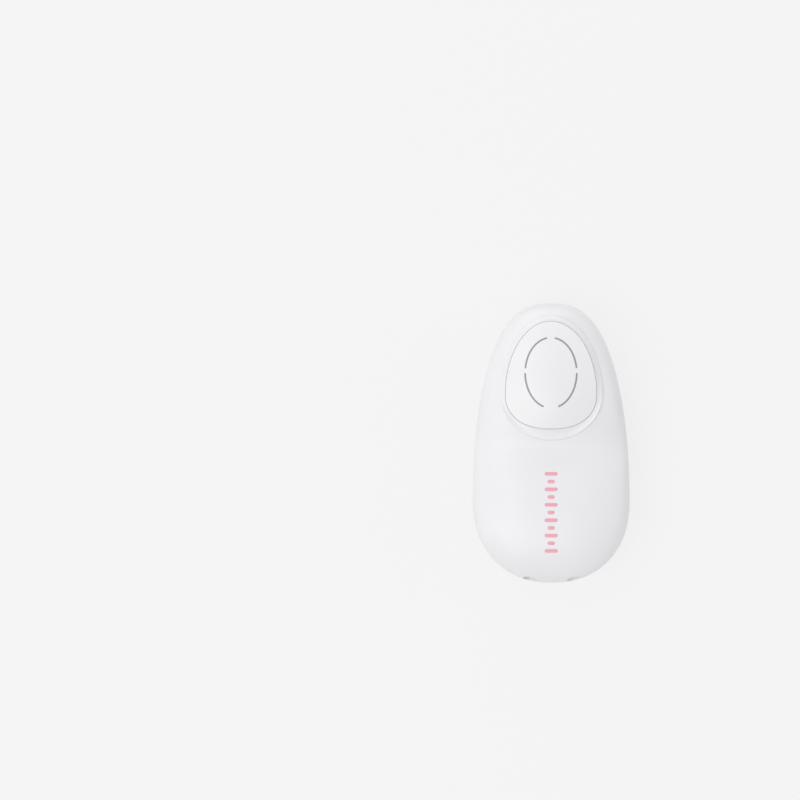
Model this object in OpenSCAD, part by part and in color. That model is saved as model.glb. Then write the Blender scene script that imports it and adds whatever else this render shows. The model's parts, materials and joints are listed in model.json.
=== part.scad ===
// Pocket fetal doppler: egg-shaped casing, oval push button on the front, round probe
// underneath the narrow end, two dry cells under the wide end. Millimetres.
// +Z is the front face, +Y the narrow end. It rests on its probe face and belly at z = 0.

/* [Casing] */
// Length of the casing
length = 116; // [112:1:120]
// Width of the casing at its widest place
width = 65; // [63:0.5:68]
// Height of the parting line
parting_z = 17; // [16.8:0.1:17.4]
// Wall of both casings
wall = 2; // [1.7:0.1:2.3]
// How far the widest place lies behind the middle
wide_back = 24; // [21:1:26]
// Height of the palm swell above the parting line
palm_rise = 16; // [15.5:0.1:16.5]
// Depth of the saddle between the palm and the button
saddle_dip = 5; // [4:0.25:5.5]
// Place of the saddle along the casing
saddle_y = -3; // [-5:0.5:-2]
// Half length of the saddle
saddle_reach = 11; // [10:0.5:12]
// Depth of the probe end below the parting line
neck_depth = 9; // [8.6:0.1:9.4]
// How far behind the near end of the cell bay the belly starts to rise to the probe end
arch_back = 4.7; // [4:0.1:5.4]
// Length of that rise
arch_run = 20; // [19:0.5:21]
// Depth and half height of the fine groove along the parting line
seam = 0.35; // [0.2:0.05:0.4]
// Height of the locating lip inside the parting line
lip_rise = 1; // [0.6:0.1:1.2]

/* [Button] */
// Width of the raised oval
boss_w = 42.2; // [41:0.2:43]
// Distance from the nose to the front end of the raised oval
boss_tip = 5.7; // [5.4:0.1:6.5]
// Back end of the raised oval
boss_back = 1; // [0:0.25:2]
// Where the raised oval is widest
boss_mid = 20; // [18:0.5:22]
// Width of the bevelled rim at the front and the sides
rim_w = 2.4; // [2.2:0.1:2.8]
// Width of the bevelled rim at its back end
rim_back = 4.6; // [4.3:0.1:5]
// Squareness of the button's back end, where 2 is an ellipse
back_power = 2.3; // [2:0.1:2.5]
// Height of the step where the rim meets the casing
rim_rise = 0.7; // [0.5:0.1:0.9]
// Radius of the dome that the button's face lies on
dome_r = 58; // [56:1:60]
// Height of the top of the button
dome_top = 35.6; // [35.3:0.1:35.9]
// Gap round the button
cap_gap = 0.3; // [0.25:0.05:0.4]
// Thickness of the button
cap_wall = 1.6; // [1.4:0.1:1.8]
// Travel of the button
press = 0.8; // [0.6:0.1:0.9]
// Radius of the stem that works the switch
stem_r = 2.2; // [2:0.1:2.4]
// Width of the printed ring's oval
ring_w = 21; // [19:0.5:23]
// Length of the printed ring's oval
ring_l = 28.8; // [27:0.1:31]
// Width of the printed line
ring_line = 0.7; // [0.5:0.1:0.9]

/* [Front mark] */
// Number of bars in the printed mark
mark_bars = 11; // [9:2:13]
// Length of the printed mark
mark_l = 33; // [31:1:35]
// Length of a long bar
mark_w = 5.4; // [4.6:0.2:6]
// Width of a bar
bar_w = 1.5; // [1.2:0.1:1.7]

/* [Probe] */
// Place of the probe along the casing
probe_y = 27; // [26.5:0.25:27.5]
// Diameter of the probe
probe_d = 38; // [37:0.5:38.5]
// Wall of the probe cup
cup_wall = 1.6; // [1.4:0.1:1.8]
// Thickness of the face disc
face_t = 2.2; // [2:0.1:2.4]
// Diameter of the pair of crystals
crystal_d = 24; // [22:0.5:26]
// Thickness of the crystals
crystal_t = 1; // [0.8:0.1:1.2]
// Gap between the crystals
crystal_gap = 1.2; // [1:0.1:1.6]
// Thickness of the absorber behind them
backing_t = 4; // [3.5:0.25:4.5]

/* [Cells] */
// Diameter of a cell
cell_d = 10.5; // [10.3:0.1:10.6]
// Length of a cell with its nub
cell_l = 44.5; // [44:0.1:44.6]
// Length of a contact spring, pressed
coil_l = 3.2; // [3:0.1:3.4]
// Distance from the tail to the cell bay
bay_back = 6.2; // [6:0.1:6.6]
// Wall of the cell bay
bay_wall = 1.2; // [1:0.1:1.3]
// Thickness of the contact plates
plate_t = 0.4; // [0.3:0.05:0.5]
// Thickness of the door
door_t = 2; // [1.8:0.1:2.2]
// Width of the door
door_w = 30.4; // [30:0.1:30.8]
// Gap round the door
door_gap = 0.25; // [0.2:0.05:0.35]

/* [Volume wheel] */
// Diameter of the wheel
wheel_d = 17.2; // [16.8:0.1:17.4]
// Thickness of the wheel
wheel_t = 3; // [2.6:0.1:3.2]
// Number of ridges on its rim
wheel_ridges = 44; // [36:2:52]
// Place of the wheel along the casing
wheel_y = -5; // [-5.5:0.25:-4.5]
// Radius of its spindle
spindle_r = 3; // [2.8:0.05:3.1]

/* [Sockets] */
// Bore of a headphone socket
jack_bore_d = 3.6; // [3.55:0.01:3.65]
// Distance of each socket from the middle
jack_x = 9; // [8.5:0.25:9.5]
// Width of a socket body
jack_w = 6.4; // [6:0.1:6.6]
// Height of a socket body
jack_h = 5.6; // [5.4:0.1:5.8]
// Length of a socket body
jack_l = 12; // [11.5:0.25:12.5]

/* [Board] */
// Thickness of the board
board_t = 1.6; // [1.2:0.1:1.6]
// Width of the board
board_w = 38; // [36:0.5:38.5]
// Gap between the cell bay's roof and the board
board_gap = 0.4; // [0.3:0.1:0.5]

/* [Screws] */
// Shank radius of a casing screw
case_screw_r = 1.1; // [1:0.05:1.2]
// Length of a casing screw under its head
case_screw_l = 12; // [11:0.5:12.5]
// Head radius of a casing screw
case_head_r = 2.1; // [1.9:0.1:2.2]
// Radius of a screw boss
boss_r = 3; // [2.8:0.1:3.2]
// Shank radius of a board screw
board_screw_r = 0.9; // [0.8:0.05:1]

/* [Hidden] */

$fn = 48;
eps = 0.01;

// Outline: powers of the two halves, and how the casing falls off towards its ends
nose_y = length / 2;
tail_y = -length / 2;
wide_y = -wide_back;
boss_front = nose_y - boss_tip;
nose_power = [2.1, 2.7];
tail_power = [2.2, 2.2];
nose_fall = [5, 3];
tail_fall = [2.6, 2.2];
belly_fall = [4, 4];
crown_power = 2.6;
belly_power = 3;
// The belly is cut flat this far up, so that the casing stands on it
belly_flat = 0.5;
loop_points = 72;

// --- the casing's surfaces -------------------------------------------------------------

function clamp01(t) = max(0, min(1, t));
function smooth(t) = let (u = clamp01(t)) u * u * (3 - 2 * u);
function root_of(v, p) = pow(max(0, v), 1 / p);

// Share of the way from the widest place to the nearer end, for a casing drawn in by inset
function reach(y, inset) =
    clamp01(y >= wide_y ? (y - wide_y) / (nose_y - inset - wide_y)
                        : (wide_y - y) / (wide_y - inset - tail_y));

function falloff(y, inset, nose, tail) =
    let (t = reach(y, inset), p = y >= wide_y ? nose : tail)
    root_of(1 - pow(t, p[0]), p[1]);

function half_width(y, inset = 0) =
    (width / 2 - inset) * falloff(y, inset, nose_power, tail_power);

// Share of the full height left at x, by a superellipse across the casing
function across(x, y, inset, power) =
    let (w = half_width(y, inset), r = w < eps ? 1 : min(1, abs(x) / w))
    root_of(1 - pow(r, power), power);

function top_rise(y, inset) =
    (palm_rise - inset - saddle_dip * exp(-pow((y - saddle_y) / saddle_reach, 2)))
    * falloff(y, inset, nose_fall, tail_fall);

function belly_drop(y, inset) =
    (parting_z + belly_flat - inset
        - (parting_z + belly_flat - neck_depth) * smooth((y - arch_start) / (arch_end - arch_start)))
    * falloff(y, inset, nose_fall, belly_fall);

function top_z(x, y, inset = 0) =
    let (lift = inset > 0 ? 0 : seam)
    parting_z + lift + (top_rise(y, inset) - lift) * across(x, y, inset, crown_power);

function belly_z(x, y, inset = 0) =
    let (lift = inset > 0 ? 0 : seam)
    max(inset, parting_z - lift - (belly_drop(y, inset) - lift) * across(x, y, inset, belly_power));

// Where the tail of the casing passes height z at x, found by halving
function tail_at(x, z, inset = 0, far = tail_y, near = wide_y, halvings = 24) =
    halvings == 0 ? near
    : let (m = (far + near) / 2)
      top_z(x, m, inset) > z ? tail_at(x, z, inset, far, m, halvings - 1)
                             : tail_at(x, z, inset, m, near, halvings - 1);

// A point of the casing's outline, by angle
function outline(a, inset = 0) =
    let (p = sin(a) >= 0 ? nose_power : tail_power,
         reach_y = sin(a) >= 0 ? nose_y - inset - wide_y : wide_y - inset - tail_y)
    [sign(cos(a)) * (width / 2 - inset) * pow(abs(cos(a)), 2 / p[1]),
     wide_y + sign(sin(a)) * reach_y * pow(abs(sin(a)), 2 / p[0])];

// A point of an egg: half width, back end, front end, and how square its back half is
function egg(a, half_w, back, front, power = 2) =
    let (r = sin(a) >= 0 ? 1 : pow(pow(abs(cos(a)), power) + pow(abs(sin(a)), power), -1 / power))
    [half_w * r * cos(a), boss_mid + r * sin(a) * (sin(a) >= 0 ? front - boss_mid : boss_mid - back)];

// The raised oval's outline, drawn in by side
function boss_egg(a, side = 0) =
    egg(a, boss_w / 2 - side, boss_back + side, boss_front - side);

// The button's own outline, drawn in by gap
function cap_egg(a, gap = 0) =
    egg(a, boss_w / 2 - rim_w - gap, boss_back + rim_back + gap, boss_front - rim_w - gap, back_power);

function angle(i, n = loop_points) = 360 * i / n;
function mix(p, q, t) = p + (q - p) * t;

// --- meshes made of closed loops of points ------------------------------------------------

// Triangles that join loop after loop, the last one to the first where ring is true
function loop_faces(n, loops, ring = true) =
    [for (k = [0:loops - (ring ? 1 : 2)], i = [0:n - 1])
        let (a = k * n + i, b = k * n + (i + 1) % n,
             c = ((k + 1) % loops) * n + i, d = ((k + 1) % loops) * n + (i + 1) % n)
        each [[a, d, b], [a, c, d]]];

module loop_ring(loops) {
    n = len(loops[0]);
    polyhedron([for (l = loops) each l], loop_faces(n, len(loops)), convexity = 8);
}

// A stack of loops closed by a fan at each end
module loop_solid(loops, first, last) {
    n = len(loops[0]);
    k = len(loops);
    points = concat([for (l = loops) each l], [first, last]);
    fans = [for (i = [0:n - 1]) each [
        [k * n, i, (i + 1) % n],
        [k * n + 1, (k - 1) * n + (i + 1) % n, (k - 1) * n + i]]];
    polyhedron(points, concat(loop_faces(n, k, false), fans), convexity = 8);
}

// Steps of a surface from its rim inwards, close together where it stands upright
outer_steps = 21;
inner_steps = 9;
function step_at(k, steps, bias = 1.9) = pow(k / steps, bias);

// Upper casing's skin: from the seam over the outside to the button's hole, and back inside
module upper_skin() {
    function hole(a) = boss_egg(a, hole_in);
    loop_ring(concat(
        [[for (i = [0:loop_points - 1]) let (p = outline(angle(i), seam)) [p.x, p.y, parting_z]]],
        [for (k = [0:outer_steps]) [for (i = [0:loop_points - 1])
            let (p = mix(outline(angle(i)), hole(angle(i)), step_at(k, outer_steps)))
            [p.x, p.y, k == 0 ? parting_z + seam : top_z(p.x, p.y)]]],
        [for (k = [inner_steps:-1:0]) [for (i = [0:loop_points - 1])
            let (p = mix(outline(angle(i), wall), hole(angle(i)), step_at(k, inner_steps)))
            [p.x, p.y, k == 0 ? parting_z : top_z(p.x, p.y, wall)]]]));
}

// Lower casing's skin: from the seam over the outside to the probe's hole, and back inside
module lower_skin() {
    function hole(a) = [cos(a), sin(a)] * (cup_hole_r - 0.6) + [0, probe_y];
    mirror([0, 0, 1]) loop_ring(concat(
        [[for (i = [0:loop_points - 1]) let (p = outline(angle(i), seam)) [p.x, p.y, -parting_z]]],
        [for (k = [0:outer_steps]) [for (i = [0:loop_points - 1])
            let (p = mix(outline(angle(i)), hole(angle(i)), step_at(k, outer_steps)))
            [p.x, p.y, k == 0 ? seam - parting_z : -belly_z(p.x, p.y)]]],
        [for (k = [inner_steps:-1:0]) [for (i = [0:loop_points - 1])
            let (p = mix(outline(angle(i), wall), hole(angle(i)), step_at(k, inner_steps)))
            [p.x, p.y, k == 0 ? -parting_z : -belly_z(p.x, p.y, wall)]]]));
}

// The space inside a casing drawn in by inset, which trims what stands inside it
core_points = 36;
core_steps = 6;
core_bias = 2.2;
module core(inset, rise) {
    function loop(k) = [for (i = [0:core_points - 1])
        let (p = mix(outline(angle(i, core_points), inset), [0, wide_y], step_at(k, core_steps, core_bias)))
        [p.x, p.y, k == 0 ? 0 : core_z(p.x, p.y, inset, rise)]];
    loop_solid([for (k = [0:core_steps - 1]) loop(k)],
        [0, wide_y, 0], [0, wide_y, core_z(0, wide_y, inset, rise)]);
}
function core_z(x, y, inset, rise) =
    rise ? top_z(x, y, inset) - parting_z : parting_z - belly_z(x, y, inset);
module upper_core(inset = wall / 2) translate([0, 0, parting_z]) core(inset, true);
module lower_core(inset = wall / 2) translate([0, 0, parting_z]) mirror([0, 0, 1]) core(inset, false);

module egg_plate(side, z0, z1, cap = false) {
    translate([0, 0, z0]) linear_extrude(z1 - z0)
        polygon([for (i = [0:loop_points - 1]) cap ? cap_egg(angle(i), side)
                                                   : boss_egg(angle(i), side)]);
}

module outline_plate(inset, z0, z1) {
    translate([0, 0, z0]) linear_extrude(z1 - z0)
        polygon([for (i = [0:loop_points - 1]) outline(angle(i), inset)]);
}

// A box given by its middle in plan and its lowest height
module block(x, y, z, size) translate([x - size.x / 2, y - size.y / 2, z]) cube(size);

// A coil of wire that stands on z = 0, as one unbroken tube with flat ends
module coil(r0, r1, height, turns, wire_r, steps = 14, sides = 6) {
    rings = turns * steps;
    loop_solid(
        [for (k = [0:rings]) let (t = k / rings, a = 360 * turns * t, r = mix(r0, r1, t),
             z = wire_r + (height - 2 * wire_r) * t)
            [for (j = [0:sides - 1]) let (b = -360 * (j + 0.5) / sides)
                [cos(a) * (r + wire_r * cos(b)), sin(a) * (r + wire_r * cos(b)),
                 z + wire_r * sin(b)]]],
        [r0, 0, wire_r],
        [r1 * cos(360 * turns), r1 * sin(360 * turns), height - wire_r]);
}

// --- places worked out from the sizes ------------------------------------------------------

// Button, its tub and its switch
rim_seat = 0.2;
hole_in = 0.9;
tub_in = hole_in + 0.2;
dome_y = 27;
dome_z = dome_top - dome_r;
floor_t = 1.5;
floor_z = 26.5;
floor_top = floor_z + floor_t;
cap_skirt_z = floor_top + press + 0.4;
board_top = parting_z + 1.2;
board_z = board_top - board_t;
tact_size = 6;
tact_h = 3.4;
tact_top = board_top + tact_h;
plunger_r = 1.75;
plunger_top = tact_top + press + 0.3;
spring_x = 9;
spring_r = 2.2;
spring_wire = 0.3;
spring_top = 32.55;
hook_y = 14;
function dome_at(x, y, drop = 0) =
    dome_z + sqrt(pow(dome_r - drop, 2) - x * x - pow(y - dome_y, 2));

// Probe
cup_r = probe_d / 2;
cup_gap = 0.15;
cup_hole_r = cup_r + cup_gap;
cup_top = 13;
flange_t = 1;
flange_w = 1.3;
collar_w = 2.4;
face_r = cup_r - cup_wall;
crystal_top = face_t + crystal_t;
backing_top = crystal_top + backing_t;
plug_y = probe_y + 6;
plug_size = [8, 3, 3];
plug_z = board_z - 0.6 - plug_size.z;
lead_r = 0.45;

// Cells and their bay: the far wall is at the tail, the near wall by the saddle
cell_r = cell_d / 2;
cell_x = cell_r + 0.35;
cell_z = 4.15 + cell_r;
bay_far = tail_y + bay_back;
bay_near = bay_far + cell_l + coil_l + 2 * plate_t;
arch_start = bay_near - arch_back;
arch_end = arch_start + arch_run;
bay_half = 2 * cell_x - 0.1;
bay_low = 4.4;
bay_top = board_z - board_gap;
bay_roof = bay_top - bay_wall;
bay_in = wall + 0.4;
nub_r = 1.9;
nub_l = 1.2;
contact_w = 8;
plate_clip = 1.6;

// Door and its rails
door_front = arch_start;
door_half = door_w / 2;
tail_half = door_half + 2;
tail_from = tail_y + 16;
door_end_z = 9.4;
tongue_w = 1.5;
tongue_t = 1.2;
tongue_z = door_t + 0.3;
tongue_l = door_front - tail_from - 2.5;
rail_out = door_half + tongue_w + 1.5;
rail_top = tongue_z + tongue_t + door_gap + 1.6;
rail_l = door_front - tail_from - 0.5;
label_w = 20;
label_l = 13;
label_y = -24;
label_recess = 0.2;
label_t = 0.12;

// Volume wheel
wheel_r = wheel_d / 2;
wheel_x = half_width(wheel_y) - 0.15 - wheel_r;
wheel_z = 6.7;
wheel_top = wheel_z + wheel_t;
pot_size = 10;
pot_z = wheel_top + 1.8;
tab_out = wheel_x + pot_size / 2 + 0.1;
dial_head_r = 2;
dial_head_h = 1;
dial_screw_r = 0.9;

// Sockets: the nose of each ends flush with the casing
jack_z = board_top + jack_h / 2;
jack_nose_r = jack_bore_d / 2 + 0.7;
jack_face = tail_at(jack_x + jack_nose_r, jack_z + jack_nose_r) + 0.1;
jack_front = tail_at(jack_x + jack_w / 2, jack_z + jack_h / 2, wall) + 0.2;
jack_depth = jack_front - jack_face + jack_l - 1;

// Screws: casing screws by the tail and by the probe, board screws
tail_screw = [23.5, tail_y + 22, 8];
side_screw = [22.5, 14, 12.3];
case_head_h = 1.6;
boss_top_z = parting_z - 0.1;
post_x = 14.2;
post_tail = 14;
post_nose = 6.5;
board_posts = [[post_x, tail_y + post_tail], [-post_x, tail_y + post_tail], [12, 6], [-12, 6],
    [0, nose_y - post_nose]];
post_r = 2.4;
board_head_r = 1.8;
board_head_h = 1.2;
board_screw_l = 6;
board_in = wall + 2.2;

// On the board. Chips: place, body and number of legs. Cans: place, radius and height
chips = [[0, -14, [7.5, 10.2, 2.2], 8], [11, -30, [3.9, 4.9, 1.5], 4], [-9, 12, [3.9, 8.7, 1.5], 7]];
leg = [0.9, 0.4, 0.6];
cans = [[-13, -30, 2.5, 5.4], [-13, -22, 2, 5], [9, 16, 2, 5]];
quartz_place = [11, -14];
quartz_size = [3.8, 10.2, 3.5];
choke_place = [-12, -12];
choke_base = 5;
choke_h = 3.2;
small_part = [1.6, 0.8, 0.5];
small_pitch = 3.2;
small_rows = [-24, -27, 3, nose_y - 13];
led_size = [3, 1.6, 0.9];
lip_in = wall + 0.15;
lip_w = 1;

module at_case_screws() {
    for (s = [tail_screw, side_screw], side = [-1, 1]) translate([side * s.x, s.y, s.z]) children();
}

// --- casings -------------------------------------------------------------------------------

module upper_shell() color("white") difference() {
    union() {
        upper_skin();
        intersection() {
            union() at_case_screws() translate([0, 0, -20]) cylinder(r = boss_r, h = 60);
            upper_core();
            translate([-width, -length, parting_z + 0.1]) cube([2 * width, 2 * length, 30]);
        }
    }
    at_case_screws() cylinder(r = case_screw_r + 0.05, h = case_screw_l + 0.6);
    for (side = [-1, 1]) translate([side * jack_x, tail_y - 1, jack_z]) rotate([-90, 0, 0])
        cylinder(r = jack_nose_r + 0.2, h = 8);
}

module door_opening(gap) {
    translate([-door_half - gap, tail_y - 1, -1])
        cube([2 * (door_half + gap), door_front + gap - tail_y + 1, door_t + 1 + eps]);
    translate([-tail_half - gap, tail_y - 1, -1])
        cube([2 * (tail_half + gap), tail_from + gap - tail_y + 1, door_end_z + gap + 1]);
}

module cell_bay() {
    difference() {
        translate([-bay_half - bay_wall, bay_far - bay_wall, bay_low])
            cube([2 * (bay_half + bay_wall), bay_near - bay_far + 2 * bay_wall, bay_top - bay_low]);
        translate([-bay_half, bay_far, bay_low - 1])
            cube([2 * bay_half, bay_near - bay_far, bay_roof - bay_low + 1]);
        for (side = [-1, 1]) block(side * cell_x, bay_near - plate_t / 2, bay_roof - 1, [3.6, 1.2, 4]);
    }
}

module rail(side) {
    translate([side > 0 ? door_half - 3.5 : -rail_out, door_front - rail_l, wall - 0.6])
        cube([rail_out - door_half + 3.5, rail_l, rail_top - wall + 0.6]);
}

// All the space that the door sweeps as it slides off, with its gap
module door_path() {
    slot = door_half + door_gap;
    groove = slot + tongue_w;
    door_opening(door_gap);
    translate([-slot, tail_y, 0])
        cube([2 * slot, door_front - tail_y, tongue_z + tongue_t + door_gap]);
    translate([-groove, tail_y, tongue_z - door_gap])
        cube([2 * groove, door_front - 0.5 - tail_y, tongue_t + 2 * door_gap]);
}

module lower_shell() color("white") difference() {
    union() {
        difference() {
            union() {
                lower_skin();
                intersection() {
                    union() for (side = [-1, 1]) rail(side);
                    lower_core();
                }
            }
            door_path();
        }
        intersection() {
            cell_bay();
            lower_core(bay_in);
        }
        intersection() {
            union() {
                at_case_screws() translate([0, 0, -20]) cylinder(r = boss_r, h = 60);
                for (p = board_posts) translate([p.x, p.y, p.y < wide_y ? rail_top : 0])
                    cylinder(r = post_r, h = board_z);
            }
            lower_core();
            translate([-width, -length, 0]) cube([2 * width, 2 * length, board_z]);
        }
        translate([0, probe_y, 0]) intersection() {
            difference() {
                cylinder(r = cup_hole_r + collar_w, h = cup_top - flange_t);
                translate([0, 0, -1]) cylinder(r = cup_hole_r - 0.3, h = 30);
            }
            translate([0, -probe_y, 0]) lower_core();
        }
        difference() {
            outline_plate(1.2, parting_z - 2.5, parting_z - 0.2);
            outline_plate(lip_in + lip_w, parting_z - 3, parting_z + 1);
        }
        difference() {
            outline_plate(lip_in, parting_z - 1, parting_z + lip_rise);
            outline_plate(lip_in + lip_w, parting_z - 2, parting_z + 2);
        }
    }
    at_case_screws() {
        translate([0, 0, -20]) cylinder(r = case_head_r + 0.3, h = 20);
        translate([0, 0, -1]) cylinder(r = case_screw_r + 0.2, h = 20);
    }
    for (p = board_posts) translate([p.x, p.y, board_z - board_screw_l + 1])
        cylinder(r = board_screw_r + 0.05, h = board_screw_l + 2);
    translate([wheel_x, wheel_y, wheel_z - 0.4]) cylinder(r = wheel_r + 0.4, h = wheel_t + 0.8);
    translate([0, probe_y, -1]) cylinder(r = cup_hole_r, h = parting_z);
    translate([0, probe_y, cup_top - flange_t]) cylinder(r = cup_r + flange_w + cup_gap, h = flange_t + 1);
}

module battery_door() color("white") difference() {
    union() {
        intersection() {
            lower_skin();
            door_opening(0);
        }
        for (side = [-1, 1]) translate([side > 0 ? door_half - 3 : -door_half - tongue_w,
                                        door_front - 1 - tongue_l, door_t - 0.5])
            difference() {
                cube([3 + tongue_w, tongue_l, tongue_z + tongue_t - door_t + 0.5]);
                translate([side > 0 ? 3 : -1, -1, -1])
                    cube([tongue_w + 1, tongue_l + 2, tongue_z - door_t + 1.5]);
            }
    }
    for (k = [0:4]) block(0, tail_from + 1 + 1.8 * k, -1, [14, 0.8, 1.4]);
    translate([0, label_y, 0]) label_plate(label_recess, 0.15);
}

module label_plate(depth, grow = 0) {
    r = 1.5;
    linear_extrude(depth) hull() for (sx = [-1, 1], sy = [-1, 1])
        translate([sx * (label_w / 2 - r), sy * (label_l / 2 - r)]) circle(r = r + grow);
}

module rating_label() color("silver")
    translate([0, label_y, label_recess - label_t]) label_plate(label_t);

module case_screws() color("gray") at_case_screws() difference() {
    union() {
        translate([0, 0, -case_head_h]) cylinder(r = case_head_r, h = case_head_h);
        cylinder(r = case_screw_r, h = case_screw_l);
    }
    translate([0, 0, -case_head_h - eps]) for (a = [0, 90]) rotate(a) block(0, 0, 0, [2.4, 0.6, 0.8]);
}

// --- button ----------------------------------------------------------------------------------

module button_bezel() {
    function at(a, t) = mix(boss_egg(a), cap_egg(a), t);
    bevel = [0.16, 0.4, 0.7, 0.93];
    color("white") difference() {
        union() {
            loop_ring(concat(
                [[for (i = [0:loop_points - 1]) let (p = at(angle(i), 0))
                    [p.x, p.y, top_z(p.x, p.y) + rim_seat]]],
                [[for (i = [0:loop_points - 1]) let (p = at(angle(i), 0))
                    [p.x, p.y, top_z(p.x, p.y) + rim_rise]]],
                [for (t = bevel) [for (i = [0:loop_points - 1])
                    let (p = at(angle(i), t), q = at(angle(i), 0), e = cap_egg(angle(i)),
                         low = top_z(q.x, q.y) + rim_rise, high = dome_at(e.x, e.y))
                    [p.x, p.y, mix(low, high, sin(90 * t) * 0.5 + t * 0.5)]]],
                [[for (i = [0:loop_points - 1]) let (e = cap_egg(angle(i)))
                    [e.x, e.y, dome_at(e.x, e.y) - 0.15]]],
                [[for (i = [0:loop_points - 1]) let (e = cap_egg(angle(i))) [e.x, e.y, floor_z - 1]]],
                [[for (i = [0:loop_points - 1]) let (p = boss_egg(angle(i), tub_in))
                    [p.x, p.y, floor_z - 1]]],
                [[for (i = [0:loop_points - 1]) let (p = boss_egg(angle(i), tub_in))
                    [p.x, p.y, top_z(p.x, p.y) + rim_seat]]]));
            egg_plate(-0.4, floor_z, floor_top, true);
        }
        translate([0, dome_y, 0]) cylinder(r = stem_r + 0.3, h = 60);
        for (side = [-1, 1]) translate([0, dome_y + side * hook_y, 20])
            translate([-2.4, -1.6, 0]) cube([4.8, 3.2, 20]);
    }
}

// The ball whose top is the button's face, with its poles turned away from it
module dome_ball(r) translate([0, dome_y, dome_z]) rotate([90, 0, 0]) sphere(r = r, $fn = 96);

module power_button() color("white") {
    difference() {
        intersection() {
            egg_plate(cap_gap, cap_skirt_z, dome_top + 1, true);
            dome_ball(dome_r);
        }
        intersection() {
            egg_plate(cap_gap + cap_wall, cap_skirt_z - 1, dome_top, true);
            dome_ball(dome_r - cap_wall);
        }
        ring_arcs(dome_r - 0.2, dome_r + 1);
    }
    intersection() {
        union() {
            translate([0, dome_y, plunger_top]) cylinder(r = stem_r, h = 14);
            for (side = [-1, 1]) translate([side * spring_x, dome_y, 0]) {
                translate([0, 0, spring_top]) cylinder(r = spring_r + 0.5, h = 4);
                translate([0, 0, floor_top + press + 0.5]) cylinder(r = spring_r - 0.9, h = 8);
            }
            for (side = [-1, 1]) translate([0, dome_y + side * hook_y, floor_z - 1.2]) {
                block(0, 0, 0, [4, 1.2, 14]);
                block(0, side * 0.8, 0, [4, 1.4, 1.1]);
            }
        }
        dome_ball(dome_r - cap_wall / 2);
    }
}

// The four arcs of the printed ring: start and end angle of each
arc_middle = dome_y + 1.6;
arc_angles = [[7, 82], [98, 173], [180, 254], [286, 360]];
module ring_arcs(r0, r1) {
    steps = 14;
    function edge(a, grow) = [(ring_w / 2 + grow) * cos(a), (ring_l / 2 + grow) * sin(a)];
    difference() {
        intersection() {
            for (arc = arc_angles) translate([0, arc_middle, dome_top - 8]) linear_extrude(12)
                polygon(concat(
                    [for (k = [0:steps]) edge(mix(arc[0], arc[1], k / steps), ring_line / 2)],
                    [for (k = [steps:-1:0]) edge(mix(arc[0], arc[1], k / steps), -ring_line / 2)]));
            dome_ball(r1);
        }
        dome_ball(r0);
    }
}

module ring_print() color("slategray") ring_arcs(dome_r - 0.2, dome_r + 0.05);

// Generic scale of long and short bars on the palm, in place of lettering
mark_y = tail_y + 29.6;
bar_corners = 12;
function bar_edge(i, half, y) = let (a = 360 * (i + 0.5) / bar_corners)
    [sign(cos(a)) * half + bar_w / 2 * cos(a), y + bar_w / 2 * sin(a)];
function bar_loop(half, y, lift) = [for (i = [0:bar_corners - 1])
    let (p = bar_edge(i, half, y)) [p.x, p.y, top_z(p.x, p.y) + lift]];

module front_mark() color("lightpink") for (b = [0:mark_bars - 1]) {
    y = mark_y + (mark_l - bar_w) * (b / (mark_bars - 1) - 0.5);
    half = ((b % 2 == 0 ? mark_w : mark_w * 0.55) - bar_w) / 2;
    loop_solid([bar_loop(half, y, -0.25), bar_loop(half, y, 0.08)],
        [0, y, top_z(0, y) - 0.25], [0, y, top_z(0, y) + 0.08]);
}

module button_springs() color("silver")
    for (side = [-1, 1]) translate([side * spring_x, dome_y, floor_top])
        coil(spring_r - spring_wire, spring_r - spring_wire, spring_top - floor_top, 5, spring_wire,
            12, 5);

module tact_switch() color("dimgray") difference() {
    block(0, dome_y, board_top, [tact_size, tact_size, tact_h]);
    translate([0, dome_y, board_top + 0.4]) cylinder(r = plunger_r + 0.1, h = 10);
}

module tact_plunger() color("black")
    translate([0, dome_y, board_top + 0.4 + press + 0.15])
        cylinder(r = plunger_r, h = plunger_top - board_top - 0.55 - press);

// --- board -------------------------------------------------------------------------------------

module main_board() color("green") difference() {
    union() {
        intersection() {
            outline_plate(board_in, board_z, board_top);
            translate([-board_w / 2, -length, 0]) cube([board_w, 2 * length, 60]);
        }
        translate([0, wheel_y - 5.6, board_z]) cube([tab_out, 11.2, board_t]);
    }
    for (p = board_posts) translate([p.x, p.y, 0]) cylinder(r = board_screw_r + 0.2, h = 60);
}

module board_screws() color("silver") for (p = board_posts) translate([p.x, p.y, board_top])
    difference() {
        union() {
            cylinder(r = board_head_r, h = board_head_h);
            translate([0, 0, -board_screw_l]) cylinder(r = board_screw_r, h = board_screw_l + eps);
        }
        translate([0, 0, board_head_h - 0.6]) for (a = [0, 90]) rotate(a)
            block(0, 0, 0, [2, 0.5, 1]);
    }

// A chip with a row of legs along two sides: place, body size and number of legs
module chip(x, y, size, legs) {
    block(x, y, board_top + leg.z / 4, size);
    for (k = [0:legs - 1], side = [-1, 1])
        block(x + side * (size.x + leg.x - 0.2) / 2, y + size.y * ((k + 0.5) / legs - 0.5), board_top, leg);
}

module board_chips() color("black") for (c = chips) chip(c[0], c[1], c[2], c[3]);

module capacitors() color("midnightblue") for (c = cans)
    translate([c.x, c.y, board_top]) cylinder(r = c[2], h = c[3]);

module quartz_can() color("lightgray")
    translate([quartz_place.x, quartz_place.y, board_top]) linear_extrude(quartz_size.z)
        hull() for (side = [-1, 1]) translate([0, side * (quartz_size.y - quartz_size.x) / 2])
            circle(d = quartz_size.x);

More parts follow.
